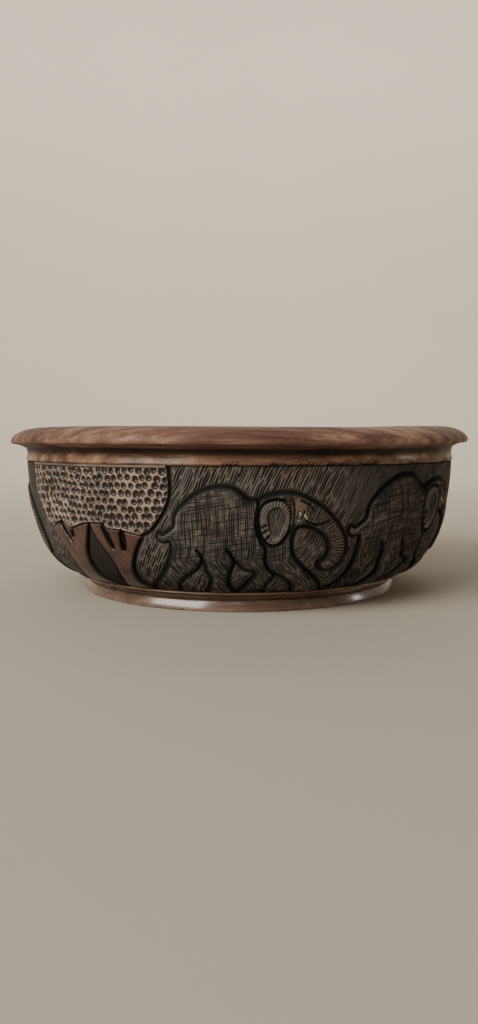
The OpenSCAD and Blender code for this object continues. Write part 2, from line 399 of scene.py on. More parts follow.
foot_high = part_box("foot_ring")[1]
LIP_Z = foot_high.z / MM
LIP_R = foot_high.x / MM
LIP_REACH = 6.6
FOOT_R = LIP_R - LIP_REACH
FOOT_WIDTH = 10
CORE_R = FOOT_R - FOOT_WIDTH
foot_finish = polished_wood(
    "polished brown foot", (0.06, 0.033, 0.023), (0.15, 0.089, 0.063), (0.3, 0.205, 0.152),
    0.28, 0.85, level=0.3)
bead = bend([(FOOT_R + 1.2, 0.5), (FOOT_R + 0.9, 2.3), (FOOT_R + 0.2, 4.2), (FOOT_R - 0.7, 6.1)],
            np.linspace(0, 1, 12))
foot_cove = bend([(FOOT_R - 1.6, 6.5), (FOOT_R - 4.4, 7.2), (FOOT_R - 2.4, LIP_Z - 2.0),
                  (LIP_R - 1.0, LIP_Z - 1.0)], np.linspace(0, 1, 18))
foot_lip = [(LIP_R - 0.1, LIP_Z - 1.2), (LIP_R, LIP_Z - 0.6), (LIP_R - 0.6, LIP_Z + 0.05),
            (LIP_R - 1.4, LIP_Z)]
foot_profile = np.concatenate([
    [(CORE_R, 0), (FOOT_R + 0.5, 0)], bead, foot_cove, foot_lip, [(CORE_R, LIP_Z)]])
turned("foot", eased(foot_profile, 0.3), foot_finish, "brown_wood", "foot_ring")


# ---- The floor and the inside ----------------------------------------------------------------
# The dished floor, recessed underneath, and the smooth inside of the wall. Scraped and oiled rather than
# polished.

floor_low, floor_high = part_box("bowl_floor")
FLOOR_LOW = floor_low.z / MM
FLOOR_Z = floor_high.z / MM
DISHING = 1.5
inside_finish = polished_wood(
    "oiled inside", (0.07, 0.03, 0.018), (0.165, 0.075, 0.042), (0.27, 0.14, 0.085),
    0.42, 0.1, across=0.5)
reach = np.linspace(1, 0, 30)
floor_top = np.stack([CORE_R * reach, FLOOR_Z - DISHING * (1 - reach ** 2)], 1)
floor_under = [(0, FLOOR_LOW), (CORE_R - 1.6, FLOOR_LOW), (CORE_R, FLOOR_LOW - 1.0)]
turned("dish", np.concatenate([floor_under, floor_top]), inside_finish, "inside_wood", "bowl_floor",
       steps=360)


# ---- The wall --------------------------------------------------------------------------------
# The wall behind the carving. Its outside lies just behind the deepest cuts, its inside is smooth.

BAND_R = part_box("bowl_wall")[1].x / MM
BAND_H = GROOVE_Z - LIP_Z
wall_bend = [(LIP_R, LIP_Z), (LIP_R + 0.88 * (BAND_R - LIP_R), LIP_Z + 0.115 * BAND_H),
             (BAND_R - 1.1, GROOVE_Z - 0.3 * BAND_H), (BAND_R, GROOVE_Z)]
fine = np.linspace(0, 1, 2001)
fine_wall = bend(wall_bend, fine)
fine_run = np.concatenate([[0], np.cumsum(np.linalg.norm(np.diff(fine_wall, axis=0), axis=1))])


def wall_at(run):
    """Radius, height and outward direction at a distance up the wall, in mm."""
    t = np.interp(run, fine_run, fine)
    spot = bend(wall_bend, t)
    step = bend(wall_bend, np.minimum(t + 1e-4, 1)) - bend(wall_bend, np.maximum(t - 1e-4, 0))
    step /= np.linalg.norm(step, axis=-1, keepdims=True)
    return spot[..., 0], spot[..., 1], step[..., 1], -step[..., 0]


BEHIND_CUTS = 3.0
run = np.linspace(0.6, fine_run[-1] - 0.2, 60)
radius, height, out_r, out_z = wall_at(run)
wall_outside = np.stack([radius - BEHIND_CUTS * out_r, height - BEHIND_CUTS * out_z], 1)
INSIDE_H = GROOVE_Z - FLOOR_Z
wall_inside = bend([(CORE_R, FLOOR_Z), (CORE_R + 0.8 * (MOUTH_R - CORE_R), FLOOR_Z + 0.05 * INSIDE_H),
                    (MOUTH_R - 0.8, GROOVE_Z - 0.33 * INSIDE_H), (MOUTH_R, GROOVE_Z)],
                   np.linspace(1, 0, 50))
wall_foot = [(CORE_R, LIP_Z), (LIP_R - 2.5, LIP_Z)]
wall_top = [(BAND_R - 2.2, GROOVE_Z), (NECK_BACK_R, GROOVE_Z), (NECK_BACK_R, SEAT_Z), (MOUTH_R, SEAT_Z)]
turned("wall", np.concatenate([wall_foot, wall_outside, wall_top, wall_inside]), inside_finish,
       "inside_wood")


# ---- The carving, set out --------------------------------------------------------------------
# The carver draws the figures on the turned wall before cutting: two groups of three elephants
# walking nose to tail, with a pair of trees between the groups. Only the bare ground is cut here.

COLS, ROWS = 3072, 288
band_run = np.linspace(0, fine_run[-1], ROWS + 1)
band_r, band_z, band_out_r, band_out_z = wall_at(band_run)
FRIEZE_H = 71.8
FRIEZE_LOW_R, FRIEZE_SPREAD = 110, 31.2
frieze_y = (band_z - LIP_Z) / BAND_H * FRIEZE_H
spread_share = 1 - (1 - np.clip(frieze_y / FRIEZE_H, 0, 1)) ** 3
frieze_r = FRIEZE_LOW_R + FRIEZE_SPREAD * spread_share

# Each elephant's place round the bowl in degrees, its size, and whether it comes first after the trees
elephants = [(3.5, 1.0, True), (50, 1.08, False), (97.2, 0.96, False),
             (185, 1.03, True), (229.8, 0.93, False), (274, 1.01, False)]
trees = [FIRST_TREE, FIRST_TREE + 180]

# Outlines in mm across and up the figure. The feet run on below the ground line, to be cut off by it

tail = [(-43, 39.5), (-46, 36.4), (-49, 34.4), (-51.4, 35.6), (-51.6, 32.4), (-48.6, 30.6), (-45, 31)]
stretched_leg = [(-44, 26), (-45.4, 17.5), (-48.6, 9), (-51.6, 4), (-52, -2), (-40.5, -2), (-38.8, 5),
                 (-35, 10.5), (-29.8, 15.5)]
upright_leg = [(-43.6, 24), (-42.6, 16), (-41.6, 8), (-41, -2), (-29.6, -2), (-31, 6), (-29.6, 13)]
rest_of_elephant = [
    (-27, 21), (-24.6, 14.5), (-21.8, 8), (-23, -2), (-10.5, -2), (-13.2, 7), (-12.6, 14), (-9.8, 20),
    (-5.4, 15.6), (0.8, 13), (-2.6, 7), (-8, -2), (4, -2), (7.6, 6.5), (12.4, 11.8), (19.6, 6.4), (24, -2),
    (37.6, -2), (34, 7.5), (26.4, 15.4), (20.6, 23.4), (19.6, 32), (22, 38.6), (27, 39.6), (32.5, 37.6),
    (38, 33.6), (40.6, 27.6), (39, 21.6), (34.8, 18.2), (36, 14.6), (41, 13.8), (47, 18.4), (50, 24),
    (50.4, 30.4), (48.4, 36), (44.4, 42), (37.6, 49), (30.4, 53.4), (23.4, 56.6), (17, 57.6), (11, 57.2),
    (5.6, 55.8), (1, 54), (-3, 54.4), (-7, 57.2), (-12, 60.2), (-18, 60.9), (-25, 59.8), (-32, 56.4),
    (-38.4, 51), (-42.4, 45.4)]
ear = [(3.4, 51.6), (1.2, 46), (1.6, 38.5), (4, 32.3), (8, 29), (12.4, 29.4), (16.4, 33.5), (19, 39),
       (19.8, 45.5), (18.8, 50.6), (15, 54), (8.8, 54.4)]
canopy = [(-52.6, 78.5), (-40, 79), (40, 79), (52.6, 78.5), (54, 72), (54.3, 65), (54.3, 58), (51.8, 50),
          (46.4, 42), (40.5, 36.2), (35.5, 34.4), (29, 35.6), (22, 36.8), (15.5, 37), (11, 39.6),
          (3, 39.6), (-5, 38.6), (-12, 36.4), (-17, 35.8), (-23, 38.6), (-30, 37.6), (-36, 34.6),
          (-41, 35.8), (-46, 41), (-51, 49), (-54, 57), (-54.3, 65), (-54, 72)]
left_trunk = [
    (-26, -2), (-4, -2), (-7.8, 7), (-8.4, 15), (-7, 22), (-3.4, 30), (-0.6, 37.6), (-5, 37.4), (-12, 35.2),
    (-14.2, 34.6), (-15.3, 29.6), (-17, 29.8), (-17, 34.2), (-20, 36), (-22.6, 37), (-20.6, 32), (-17.8, 27),
    (-19.6, 26.6), (-24, 31.6), (-28, 36.6), (-31.6, 35.6), (-35.8, 33.2), (-33.4, 28.6), (-28, 22.6),
    (-24.8, 15), (-24, 7)]
right_trunk = [
    (6, -2), (21.6, -2), (20.4, 6), (22.8, 14), (27, 21), (31.8, 28), (35, 33), (29.6, 34.3), (25.8, 34.9),
    (24.8, 29), (23.2, 24.8), (21.2, 25), (21.6, 29.8), (22, 35.6), (18.8, 36), (15.4, 35.9), (14, 37),
    (15.4, 30.6), (16.4, 25.8), (14.6, 25.4), (12, 30.6), (9.6, 38.2), (6.4, 38.5), (2.2, 38.4), (4.2, 31),
    (8.6, 24.5), (11.8, 17), (10.6, 7)]


def flowing(points, closed=True, steps=5):
    """A smooth line through points."""
    p = np.array(points, float)
    if closed:
        before, after, beyond = np.roll(p, 1, 0), np.roll(p, -1, 0), np.roll(p, -2, 0)
    else:
        before, after, beyond = p[[0, *range(len(p) - 2)]], p[1:], p[[*range(2, len(p)), -1]]
        p = p[:-1]
    t = (np.arange(steps) / steps)[None, :, None]
    a, b, c, d = (q[:, None, :] for q in (before, p, after, beyond))
    line = (2 * b + (c - a) * t + (2 * a - 5 * b + 4 * c - d) * t * t + (3 * b - a - 3 * c + d) * t ** 3) / 2
    line = line.reshape(-1, 2)
    return line if closed else np.concatenate([line, [points[-1]]])


def from_line(line, x, y, closed=False):
    """Distance of each point from a line, and how far along the line its nearest place is."""
    line = np.array(line, float)
    ends = np.roll(line, -1, 0) if closed else line[1:]
    best, along, travelled = np.full(x.shape, 1e9), np.zeros(x.shape), 0.0
    for (ax, ay), (bx, by) in zip(line, ends):
        dx, dy = bx - ax, by - ay
        size = dx * dx + dy * dy + 1e-12
        t = np.clip(((x - ax) * dx + (y - ay) * dy) / size, 0, 1)
        far = (x - ax - t * dx) ** 2 + (y - ay - t * dy) ** 2
        closer = far < best
        best = np.where(closer, far, best)
        along = np.where(closer, travelled + t * size ** 0.5, along)
        travelled += size ** 0.5
    return np.sqrt(best), along


# Distances outside an outline are worked out this far, in mm
FAR_OUT = 6.0


def inside_by(outline, x, y):
    """How far each point is inside a closed outline, negative outside it."""
    low, high = outline.min(0) - FAR_OUT, outline.max(0) + FAR_OUT
    near = (x > low[0]) & (x < high[0]) & (y > low[1]) & (y < high[1])
    px, py = x[near], y[near]
    far, _ = from_line(outline, px, py, closed=True)
    inside = np.zeros(px.shape, bool)
    for (ax, ay), (bx, by) in zip(outline, np.roll(outline, -1, 0)):
        if ay != by:
            inside ^= ((ay > py) != (by > py)) & (px < (bx - ax) * (py - ay) / (by - ay) + ax)
    out = np.full(x.shape, -FAR_OUT)
    out[near] = np.where(inside, far, -far)
    return out


class Patch:
    """The part of the band round one figure, with each point's place across and up the figure, in mm."""

    def __init__(self, middle, size=1.0):
        half = 36
        first = int(round((middle - half) / 360 * COLS))
        last = int(round((middle + half) / 360 * COLS))
        self.cols = np.arange(first, last) % COLS
        self.here = self.cols[:, None], np.arange(ROWS + 1)[None, :]
        turn = np.radians(np.arange(first, last) / COLS * 360 - middle)
        self.size = size
        self.x = np.sin(turn)[:, None] * frieze_r[None, :] / size
        self.y = np.broadcast_to(frieze_y[None, :] / size, self.x.shape).copy()

    def inside(self, points):
        return inside_by(flowing(points), self.x, self.y) * self.size

    def carve(self, wanted, height, light):
        """Cuts the wanted points to a height, and leaves them so light: the stain, with painted shade and
        painted highlight in places.
        """
        skin[self.here] = np.where(wanted, height, skin[self.here])
        tone[self.here] = np.where(wanted, light, tone[self.here])


# How far inside its nearest figure each point of the band is
inside_any = np.full((COLS, ROWS + 1), -FAR_OUT)
herd, woods = [], []
for middle, size, after_tree in elephants:
    patch = Patch(middle, size)
    patch.body = patch.inside(tail + (stretched_leg if after_tree else upright_leg) + rest_of_elephant)
    patch.ear = patch.inside(ear)
    inside_any[patch.cols] = np.maximum(inside_any[patch.cols], patch.body)
    herd.append(patch)
for middle in trees:
    patch = Patch(middle)
    patch.canopy = patch.inside(canopy)
    patch.trunks = {"a": patch.inside(left_trunk), "b": patch.inside(right_trunk)}
    for part in (patch.canopy, *patch.trunks.values()):
        inside_any[patch.cols] = np.maximum(inside_any[patch.cols], part)
    woods.append(patch)

# How high the wood stands at each point of the band, how light the stain, painted shade and painted
# highlight leave it, how far it is rubbed through (pale on the tusks, which also paints their glints), and
# which blocks of 2 by 2 are already part of a piece
CUT = 2.35
DEEPEST = 2.75
BACK = 3.5
skin = -CUT + 1.3 * smooth_step((-inside_any - 0.3) / 2.8)
tone = np.zeros_like(skin)
worn = np.zeros_like(skin)
taken = np.zeros((COLS // 2, ROWS // 2), bool)


def cut_out(name, cols, wanted, finish, slot, *nodes):
    """Cuts the blocks of the band that are wanted out as a closed piece, down to a plain back."""
    blocks = np.zeros((COLS // 2, ROWS // 2), bool)
    blocks[cols[(cols % 2 == 1)] // 2] = wanted[cols % 2 == 1][:, 1::2]
    blocks &= ~taken
    taken[blocks] = True
    return piece_of(name, blocks, finish, slot, *nodes)


def piece_of(name, blocks, finish, slot, *nodes):
    """A closed piece of the band: its carved face, a plain back of whole blocks, and the sides between."""
    turn = np.arange(COLS) / COLS * 2 * math.pi
    radius = band_r + skin * band_out_r
    high = np.stack([radius * np.sin(turn)[:, None], -radius * np.cos(turn)[:, None],
                     band_z + skin * band_out_z], -1).reshape(-1, 3)
    back_r = (band_r - BACK * band_out_r)[None, :] + 0 * skin
    low = np.stack([back_r * np.sin(turn)[:, None], -back_r * np.cos(turn)[:, None],
                    (band_z - BACK * band_out_z)[None, :] + 0 * skin], -1).reshape(-1, 3)
    rows = ROWS + 1
    under = COLS * rows
    i, j = np.nonzero(blocks)
    over_the_join = blocks[0].any() and blocks[-1].any()
    first = 2 * (np.flatnonzero(~blocks.any(1))[-1] + 1 if over_the_join else i[0])

    def at(col, row, below=0):
        return (col % COLS) * rows + row + below

    def flat(col, row, strip=0):
        """Place on the flat map: strip 0 is the carved face, 1 the back and 2 the sides."""
        across = ((col - first) % COLS) / COLS
        span = max(((2 * i - first) % COLS).max() + 2, 2) / COLS
        up = row / ROWS
        place = {0: 0.9 * up, 1: 0.91 + 0.05 * up, 2: 0.97 + 0.02 * up}[strip]
        return np.stack([np.where(across > span, 1.0, across / span), place], -1)

    faces, maps = [], []
    for a in (0, 1):
        for b in (0, 1):
            c, r = 2 * i + a, 2 * j + b
            ring = [(c, r), (c + 1, r), (c + 1, r + 1), (c, r + 1)]
            faces.append(np.stack([at(*q) for q in ring], 1))
            maps.append(np.stack([flat(*q) for q in ring], 1))
    c, r = 2 * i, 2 * j
    ring = [(c, r), (c, r + 2), (c + 2, r + 2), (c + 2, r)]
    faces.append(np.stack([at(*q, under) for q in ring], 1))
    maps.append(np.stack([flat(*q, 1) for q in ring], 1))
    padded = np.pad(blocks, ((0, 0), (1, 1)))
    sides = {(1, 0): np.roll(blocks, -1, 0), (-1, 0): np.roll(blocks, 1, 0),
             (0, 1): padded[:, 2:], (0, -1): padded[:, :-2]}
    for (dc, dr), beside in sides.items():
        i, j = np.nonzero(blocks & ~beside)
        mid = (2 * i + 1 + dc, 2 * j + 1 + dr)
        start, end = (mid[0] + dr, mid[1] - dc), (mid[0] - dr, mid[1] + dc)
        for ring in ([(start, 0), (start, under), (mid, 0)], [(mid, 0), (start, under), (end, under)],
                     [(mid, 0), (end, under), (end, 0)]):
            faces.append(np.stack([at(*q, below) for q, below in ring], 1))
            maps.append(np.stack([flat(*q, 2) for q, _ in ring], 1))
    marks = {"worn": np.concatenate([worn.ravel(), np.zeros(under)]),
             "tone": np.concatenate([np.clip(tone, 0, 1).ravel(), np.zeros(under)])}
    i, j = np.nonzero(blocks)
    return made(name, np.concatenate([high, low]), faces, maps, finish, slot, *nodes, marks=marks)


# ---- The elephants ---------------------------------------------------------------------------
# Six elephants left standing as the ground is cut back. Each is rounded over at its edges, parted
# by deep creases and hatched both ways with a small gouge, then stained nearly black.


def rounded(depth, reach, height):
    """The quarter-round that an edge is worn to."""
    share = np.clip(depth / reach, 0, 1)
    return height * np.sqrt(np.clip(1 - (1 - share) ** 2, 0, 1))


# Width and depth of each crease in mm, and the line it follows
creases = [
    (1.5, 1.7, [(1, 56), (1.6, 52), (0.4, 45.5), (0.8, 38.5), (3.2, 31.5), (5.6, 27.5), (5.6, 21),
                (8, 15.4), (12.4, 10.8)]),
    (1.3, 1.5, [(-9.6, 18.5), (-11.6, 23), (-14.6, 27)]),
    (1.2, 1.3, [(-27, 20), (-28.4, 24), (-30.6, 26.8)]),
    (0.9, 0.9, [(27, 42.6), (31, 40.8), (35.2, 40.6), (39.6, 42.6)]),
    (0.8, 0.7, [(24.5, 53.4), (28.6, 51.2), (31.4, 47.8)]),
    (0.6, 0.4, [(19.8, 54.5), (20.6, 49), (20.4, 43), (19.4, 37)]),
    (0.8, 0.5, [(4.6, 1.4), (1.5, 2.4), (-1.2, 1.2)]),
]
trunk_line = [(29, 50.5), (35.4, 46.6), (41.4, 40.4), (45, 34), (46, 27.6), (44.3, 21.6), (40.4, 17.4),
              (35.5, 16.4)]
TRUNK_RING = 1.6
# Root and tip of each tusk, and half its thickness at the root in mm
tusks = [((23.6, 47), (23.8, 45.2), 0.6), ((26.4, 45.6), (27.6, 43.8), 0.7),
         ((22.9, 43), (23.3, 42.2), 0.45)]
EDGE_ROUND = 3.0
# Each ear stands in its own groove, deepest half way between the body and the ear
EAR_GROOVE_MIDDLE, EAR_GROOVE_HALF, EAR_GROOVE_CUT = 0.95, 1.35, 1.7

for patch in herd:
    x, y, seed = patch.x, patch.y, patch.size * 100
    depth = patch.body
    body = -CUT + rounded(depth, EDGE_ROUND, CUT) + 0.35 * smooth_step(depth / 14)
    # The tail is slim, so it stays light closer to its edge
    slim = smooth_step((-36 - x) / 5) * smooth_step((y - 26) / 4)
    light = 0.05 + 0.95 * smooth_step((depth - 0.5 + 0.3 * slim) / (2.0 - 0.8 * slim))
    # The far legs lie behind the near ones, and the back sinks behind the head; both are also painted
    # darker, as painted shade
    far_hind, far_fore = smooth_step((-27.5 - x) / 2), smooth_step((x + 9) / 2) * smooth_step((9 - x) / 2)
    far_leg = smooth_step((20 - y) / 5) * (far_hind + far_fore)
    body -= 0.6 * far_leg * smooth_step(depth / 1.5)
    behind_head = np.exp(-((x + 3) / 5.5) ** 2 - ((y - 56) / 5) ** 2)
    body -= 1.2 * behind_head
    # Painted shade: the far legs and the dip behind the head are darkened in the tone
    light *= (1 - 0.25 * far_leg) * (1 - 0.9 * behind_head)
    # The flank is hatched both ways, the legs on a slant, and the head with short nibbling cuts
    wide, tall = x * patch.size, y * patch.size
    upright = strokes(wide + 0.0022 * (tall - 30) ** 2, tall, 90, 1.15, 22, seed)
    level = strokes(wide, tall, 9, 1.2, 24, seed + 9)
    slant = strokes(wide, tall, 128, 1.25, 11, seed + 20)
    low_down = smooth_step((24 - y) / 6)
    head = smooth_step((x - 19) / 2)
    crown = smooth_step(1.25 - np.hypot(x - 22.5, (y - 52) * 1.1) / 6.5)
    hatch = np.maximum(0.92 * upright, 0.8 * level) * (1 - low_down) * (1 - head) + slant * low_down
    ring_far, ring_run = from_line(flowing(trunk_line, False), x, y)
    on_trunk = smooth_step((6.5 - ring_far) / 1.5) * smooth_step((ring_run - 1) / 6)
    ring_turn = ring_run * patch.size * 2 * math.pi / TRUNK_RING + 0.9 * drift(x, y, 5, seed)
    rings = (0.5 + 0.5 * np.cos(ring_turn)) ** 2
    nibbles = strokes(wide, tall, 62, 1.3, 3.2, seed + 31)
    face = on_trunk * (0.5 * rings + 0.5 * nibbles) + (1 - on_trunk) * nibbles * (1 - 0.45 * crown)
    hatch += head * (1 - low_down) * face
    begins = smooth_step((depth - 0.5) / 1.4)
    body -= (0.55 + 0.1 * head * on_trunk) * hatch * begins
    light *= 1 - 0.95 * smooth_step(1.5 * hatch) * begins
    light *= 0.85 + 0.3 * drift(wide, tall, 8, seed + 50)
    for width, deep, line in creases:
        far, _ = from_line(flowing(line, False), x, y)
        body -= deep * np.clip(1 - far * patch.size / width, 0, 1) ** 1.2 * smooth_step(depth / 0.5)
        light *= 1 - 0.9 * smooth_step(1.35 - far * patch.size / width)
    bare = 0.3 * crown
    for (ax, ay), (bx, by), thick in tusks:
        far, along = from_line([(ax, ay), (bx, by)], x, y)
        width = thick * (1.15 - 0.5 * along / math.hypot(bx - ax, by - ay))
        light *= 1 - 0.8 * smooth_step(2.2 - far / width)
        tusk = -0.6 + 0.9 * np.sqrt(np.clip(1 - (far / width) ** 2, 0, 1)) - 3 * (far > width)
        body = np.maximum(body, tusk)
        # The tusks are painted pale: partly their own paler wood, partly painted highlight for their glints
        bare = np.where(far < width, 1.0, bare)
        light = np.where(far < width, 1.0, light)
    groove = np.abs(patch.ear - EAR_GROOVE_MIDDLE) + 0.25 * drift(wide, tall, 4.5, seed + 40)
    # The groove is fainter where the ear meets the forehead
    faint = 1 - 0.7 * smooth_step((x - 14) / 4) * smooth_step((y - 36) / 6)
    in_groove = np.clip(1 - groove / EAR_GROOVE_HALF, 0, 1)
    body -= EAR_GROOVE_CUT * faint * in_groove * smooth_step(depth / 0.5)
    light *= 1 - 0.95 * faint * smooth_step(1.8 - groove / 1.1)
    patch.carve(depth > 0, np.maximum(body, -CUT), light)
    worn[patch.here] = np.where(depth > 0, bare, worn[patch.here])


# ---- The ears --------------------------------------------------------------------------------
# Each ear is an island in its own groove: a ribbed band round the top and back, a hollow inside
# it, and small nicks at the lower edge.

inner_ear = [(6, 43.5), (6.4, 47.6), (9, 50), (12.6, 50.2), (15, 47.6), (15.6, 42.6), (14.4, 37),
             (11.6, 33.6), (8.6, 34.4), (6.8, 38.6)]
RIBS = 38
EAR_SUNK, EAR_EDGE_ROUND, EAR_H = 1.9, 1.7, 2.1
NICK_HALF = 0.8
ear_nicks = [((3.2, 39.5), (5.4, 40.6)), ((3.8, 36.2), (6, 37.8)), ((5.6, 32.8), (7.4, 35))]

for number, patch in enumerate(herd, 1):
    x, y = patch.x, patch.y
    depth = patch.ear - EAR_GROOVE_MIDDLE
    inner = inside_by(flowing(inner_ear), x, y) * patch.size
    around = np.arctan2(y - 42, x - 10)
    round_the_top = smooth_step((y - x * 0.6 - 31) / 5)
    in_band = smooth_step((depth - 0.3) / 0.8) * smooth_step((0.2 - inner) / 0.7) * round_the_top
    rib = (0.5 + 0.5 * np.cos(around * RIBS + 0.6 * drift(x, y, 6, number))) * in_band
    hollow = smooth_step(inner / 0.9) * (1 - 0.6 * smooth_step((x - 7 + (44 - y) * 0.35) / 8))
    inside_cut = strokes(x * patch.size, y * patch.size, 74, 1.5, 8, patch.size * 50)
    inside_cut = inside_cut * smooth_step((depth - 0.8) / 0.8) * (1 - in_band)
    lobe = -EAR_SUNK + rounded(depth, EAR_EDGE_ROUND, EAR_H) - 0.42 * rib - 1.15 * hollow - 0.34 * inside_cut
    light = (0.15 + 0.85 * smooth_step((depth - 0.1) / 1.2)) * (1 - 0.85 * rib) * (1 - 0.85 * inside_cut)
    step_down = smooth_step(1 - np.abs(inner - 0.5) / 0.8)
    light *= 1 - 0.85 * step_down * smooth_step((y - x * 0.5 - 31) / 5)
    light *= 1 - 0.5 * smooth_step(inner / 1.2)
    for start, end in ear_nicks:
        far, _ = from_line([start, end], x, y)
        lobe -= 1.1 * np.clip(1 - far / NICK_HALF, 0, 1)
        light *= 1 - 0.9 * smooth_step(1.4 - far / NICK_HALF)
    bare = 0.25 * smooth_step((x - 13) / 5) * smooth_step((y - 44) / 5)
    patch.is_ear = depth > 0
    patch.carve(patch.is_ear, np.maximum(lobe, -CUT), light)
    worn[patch.here] = np.where(patch.is_ear, bare, worn[patch.here])


def stained_wood(name, ridge, cut, blush, brown, pale):
    """Wood stained nearly black after carving: worn lighter on the ridges, with some red brown showing, and
    rubbed through to brown and then to pale wood in a few places. Its tone mark also carries painted shade,
    and the pale of the tusks is partly painted highlight."""
    wood = Finish(name)
    tone = wood.carved("tone")
    bare = wood.carved("worn")
    blotch = wood.noise((0.03, 0.035, 0.035), 3.0, 0.55, shift=(4, 2, 9))
    grain = wood.noise((0.05, 1.6, 1.8), 2.0, 0.6)
    fibre = wood.noise((0.3, 4.2, 4.6), 2.0, 0.6, shift=(2, 8, 5))
    high = (tone * (0.5 + grain * 1.0)).held()
    left_on = wood.mix(((blotch - 0.46) * 4.5).held(0, 0.8), ridge, blush)
    left_on = wood.mix((bare * 2.0).held(), left_on, brown)
    left_on = wood.mix((bare * 2.0 - 1.0).held(), left_on, pale)
    colour = wood.mix(high, cut, left_on)
    rough = (fibre * 0.2 + 0.76 - tone * 0.28).held(0.15, 0.95)
    coat = (tone * tone * 0.22).held()
    return wood.close(colour, rough, fibre * 0.6 + grain * 0.5, 0.35, 0.1, coat, 0.3, 0.12)


stained = stained_wood("dark stained carving", (0.165, 0.148, 0.131), (0.003, 0.0029, 0.0026),
                       (0.145, 0.1, 0.08), (0.15, 0.078, 0.048), (0.36, 0.31, 0.26))
for number, patch in enumerate(herd, 1):
    cut_out(f"ear_{number}", patch.cols, patch.is_ear, stained, "dark_stained_wood",
            f"elephant_ear_{number}")
    cut_out(f"elephant_{number}", patch.cols, patch.body > 0, stained, "dark_stained_wood",
            f"elephant_{number}")


# ---- The tree canopies ------------------------------------------------------------------------
# The leaves are rows of round cups cut with a gouge, close together and never quite in line. The
# stain was wiped off here, so the canopies are a lighter brown.


CUP_PITCH, CUP_ROW = 4.45, 4.15
LEDGE_H = 1.7


def cups(x, y, seed):
    """Rows of round cuts: how deep the nearest cup is at each point, from 0 to 1."""
    best = np.zeros(x.shape)
    x = x + 0.9 * drift(x, y, 19, seed)
    y = y + 1.2 * drift(x, y, 26, seed + 1)
    for row_step in (-1, 0, 1):
        row = np.floor(y / CUP_ROW) + row_step
        shift = 2.2 * (row % 2) + 0.9 * scatter(row, 0 * row, seed + 2)
        for step in (-1, 0, 1):
            place = np.floor((x - shift) / CUP_PITCH) + step
            cx = (place + 0.5) * CUP_PITCH + shift + 1.5 * (scatter(row, place, seed + 3) - 0.5)
            cy = (row + 0.5) * CUP_ROW + 1.2 * (scatter(row, place, seed + 4) - 0.5)
            wide = 2.1 + 0.6 * (scatter(row, place, seed + 5) - 0.5)
            tall = wide * (1.08 + 0.35 * (scatter(row, place, seed + 6) - 0.5))
            near = ((x - cx) / wide) ** 2 + ((y - cy) / tall) ** 2
            how_deep = 0.75 + 0.25 * scatter(row, place, seed + 7)
            best = np.maximum(best, np.clip(1 - near, 0, 1) * how_deep)
    return best


def tree_wood(name, dark, middle, light, hollow, roughness):
    """Wood of the trees: wiped back to brown on the high parts, stain left in every cut."""
    wood = Finish(name)
    cut = 1 - wood.carved("tone")
    band = wood.noise((0.012, 0.14, 0.16), 3.0, 0.55, shift=(3, 1, 7))
    grain = wood.noise((0.05, 1.3, 1.5), 3.0, 0.6)
    fibre = wood.noise((0.3, 4.0, 4.4), 2.0, 0.6, shift=(2, 8, 5))
    tone = (band * 0.6 + grain * 0.4 + 0.02).held()
    stops = [(0.3, dark), (0.5, middle), (0.72, light)]
    colour = wood.add("ShaderNodeValToRGB", {"stops": stops}, {0: tone})
    colour = wood.mix(cut.held(), colour, hollow)
    rough = (grain * 0.2 + (roughness - 0.1)).held(0.12, 0.95)
    return wood.close(colour, rough, fibre * 0.4 + grain * 0.5, 0.3, 0.12, 0.22, 0.26, 0.25)


canopy_finish = tree_wood("wiped brown leaves", (0.14, 0.1, 0.08), (0.25, 0.185, 0.15),
                          (0.4, 0.315, 0.265), (0.007, 0.005, 0.004), 0.3)
for number, patch in enumerate(woods, 1):
    depth = patch.canopy
    limbs = np.maximum(patch.trunks["a"], patch.trunks["b"])
    # The leaves run on level into the limbs, and a scored line parts them from a plain ledge at the top
    joined = smooth_step((limbs + 2.6) / 0.8)
    edge = depth + 0.9 * joined
    leaf = -CUT + rounded(edge, 1.3, CUT - 0.1)
    over_score = patch.y - FRIEZE_H + LEDGE_H
    ledge = smooth_step(over_score / 0.4)
    score = smooth_step(1 - np.abs(over_score) / 0.7)
    cup = cups(patch.x, patch.y, number * 11) * smooth_step((depth - 0.1) / 1.4) * (1 - ledge)
    leaf -= 1.7 * cup ** 0.7 + 0.12 * (1 - ledge) + 0.4 * score
    light = smooth_step((edge - 0.2) / 0.9) * (1 - 0.92 * np.clip(cup * 3.4, 0, 1))
    light *= (1 - 0.7 * score) * (1 - 0.45 * ledge)
    # Painted highlight: besides slow random changes, the right half of each canopy is made lighter
    light *= 0.8 + 0.3 * drift(patch.x, patch.y, 12, 21) + 0.15 * smooth_step(patch.x / 40)
    patch.carve(depth > 0, np.maximum(leaf, -CUT), light)
    cut_out(f"canopy_{number}", patch.cols, depth > 0, canopy_finish, "brown_wood",
            f"tree_canopy_{number}")


# ---- The tree trunks --------------------------------------------------------------------------
# Two trunks under each canopy, forking into limbs that deep slots part. They are cut smooth and
# rubbed to red brown.

